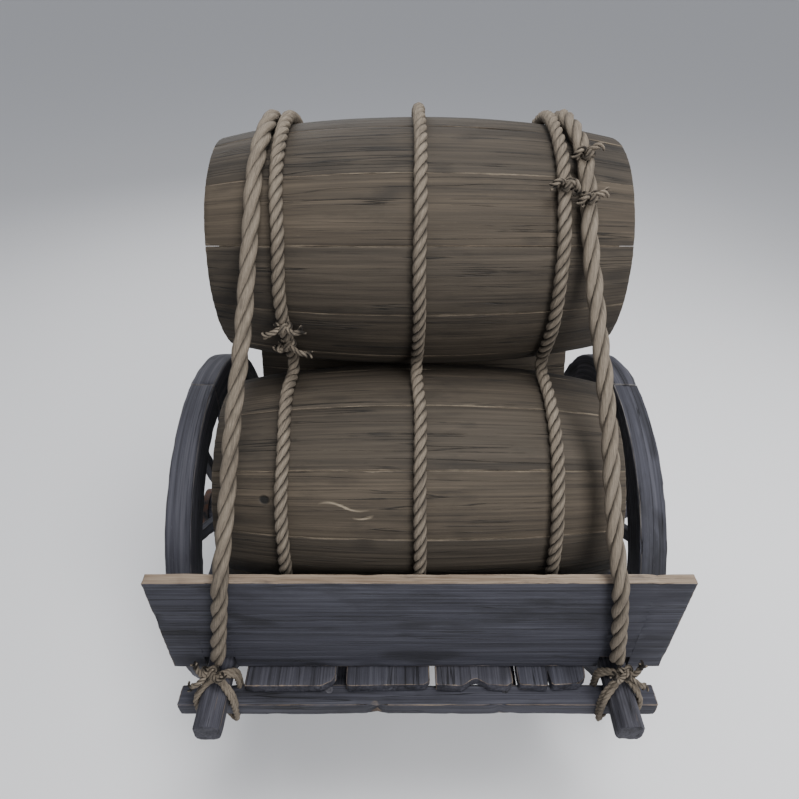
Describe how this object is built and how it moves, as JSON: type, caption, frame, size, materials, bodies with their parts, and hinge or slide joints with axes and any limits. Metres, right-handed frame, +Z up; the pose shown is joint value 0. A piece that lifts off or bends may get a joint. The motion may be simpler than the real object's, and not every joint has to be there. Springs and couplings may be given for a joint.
{
  "type": "mine cart",
  "caption": "Two-wheeled timber cart with slatted bed, side poles and end boards, loaded with stacked oak barrels held by twisted ropes.",
  "frame": {"origin": "on the ground midway between the wheels, directly under the axle", "axes": "+Z up, +X towards the right wheel along the axle, -Y towards the end that the picture shows"},
  "size_m": [1.594, 1.8, 1.9782],
  "materials": {
    "weathered_timber": "grey weathered sawn timber, dry, cracked along the grain",
    "wheel_timber": "grey weathered timber with worn edges",
    "oak_staves": "brown oiled oak, dull",
    "oak_heads": "brown oak boards, dull",
    "bung_wood": "pale turned wood",
    "peg_wood": "end grain of cleft pegs",
    "hemp_rope": "three-strand twisted hemp, dusty",
    "wrought_iron": "dark forged iron with dull rust"
  },
  "bodies": {
    "cart": {"bed_plank_1": "weathered_timber", "bed_plank_2": "weathered_timber", "bed_plank_3": "weathered_timber", "bed_plank_4": "weathered_timber", "front_crossbeam": "weathered_timber", "rear_crossbeam": "weathered_timber", "middle_crossbeam": "weathered_timber", "inner_crossbeams": "weathered_timber", "left_bearer": "weathered_timber", "right_bearer": "weathered_timber", "axle_tree": "weathered_timber", "left_side_pole": "weathered_timber", "right_side_pole": "weathered_timber", "front_board": "weathered_timber", "rear_board": "weathered_timber", "middle_chocks": "weathered_timber", "outer_chocks": "weathered_timber", "crossbeam_pegs": "peg_wood", "plank_pegs": "peg_wood", "axle_pegs": "peg_wood", "front_barrel_staves": "oak_staves", "rear_barrel_staves": "oak_staves", "top_barrel_staves": "oak_staves", "front_barrel_left_head": "oak_heads", "front_barrel_right_head": "oak_heads", "rear_barrel_left_head": "oak_heads", "rear_barrel_right_head": "oak_heads", "top_barrel_left_head": "oak_heads", "top_barrel_right_head": "oak_heads", "left_lashing": "hemp_rope", "middle_lashing": "hemp_rope", "right_lashing": "hemp_rope", "left_tie_rope": "hemp_rope", "right_tie_rope": "hemp_rope", "front_left_pole_lashing": "hemp_rope", "front_right_pole_lashing": "hemp_rope", "rear_left_pole_lashing": "hemp_rope", "rear_right_pole_lashing": "hemp_rope", "inner_washers": "wrought_iron", "outer_washers": "wrought_iron", "prop_pins": "wrought_iron"},
    "left_wheel": {"left_nave": "wheel_timber", "left_spokes": "wheel_timber", "left_felloes": "wheel_timber", "left_nave_bands": "wrought_iron", "left_axle_box": "wrought_iron"},
    "right_wheel": {"right_nave": "wheel_timber", "right_spokes": "wheel_timber", "right_felloes": "wheel_timber", "right_nave_bands": "wrought_iron", "right_axle_box": "wrought_iron"},
    "left_linchpin": {"left_linchpin": "wrought_iron"},
    "right_linchpin": {"right_linchpin": "wrought_iron"},
    "front_barrel_bung": {"front_barrel_bung": "bung_wood"},
    "rear_barrel_bung": {"rear_barrel_bung": "bung_wood"},
    "top_barrel_bung": {"top_barrel_bung": "bung_wood"},
    "front_left_prop": {"front_left_prop": "weathered_timber"},
    "front_right_prop": {"front_right_prop": "weathered_timber"},
    "rear_left_prop": {"rear_left_prop": "weathered_timber"},
    "rear_right_prop": {"rear_right_prop": "weathered_timber"}
  },
  "joints": [
    {"name": "left_wheel_spin", "type": "hinge", "parent": "cart", "child": "left_wheel", "pos_m": [-0.67, 0, 0.58], "axis": [1, 0, 0], "continuous": true},
    {"name": "right_wheel_spin", "type": "hinge", "parent": "cart", "child": "right_wheel", "pos_m": [0.67, 0, 0.58], "axis": [1, 0, 0], "continuous": true},
    {"name": "left_linchpin_lift", "type": "slide", "parent": "cart", "child": "left_linchpin", "axis": [0, 0, 1], "range_m": [0, 0.15]},
    {"name": "right_linchpin_lift", "type": "slide", "parent": "cart", "child": "right_linchpin", "axis": [0, 0, 1], "range_m": [0, 0.15]},
    {"name": "front_barrel_bung_pull", "type": "slide", "parent": "cart", "child": "front_barrel_bung", "axis": [1, 0, 0], "range_m": [0, 0.06]},
    {"name": "rear_barrel_bung_pull", "type": "slide", "parent": "cart", "child": "rear_barrel_bung", "axis": [1, 0, 0], "range_m": [0, 0.06]},
    {"name": "top_barrel_bung_pull", "type": "slide", "parent": "cart", "child": "top_barrel_bung", "axis": [1, 0, 0], "range_m": [0, 0.06]},
    {"name": "front_left_prop_swing", "type": "hinge", "parent": "cart", "child": "front_left_prop", "pos_m": [-0.299, -0.25, 0.651], "axis": [-1, 0, 0], "range_deg": [0, 80]},
    {"name": "front_right_prop_swing", "type": "hinge", "parent": "cart", "child": "front_right_prop", "pos_m": [0.299, -0.25, 0.651], "axis": [-1, 0, 0], "range_deg": [0, 80]},
    {"name": "rear_left_prop_swing", "type": "hinge", "parent": "cart", "child": "rear_left_prop", "pos_m": [-0.161, 0.25, 0.651], "axis": [1, 0, 0], "range_deg": [0, 80]},
    {"name": "rear_right_prop_swing", "type": "hinge", "parent": "cart", "child": "rear_right_prop", "pos_m": [0.161, 0.25, 0.651], "axis": [1, 0, 0], "range_deg": [0, 80]}
  ]
}
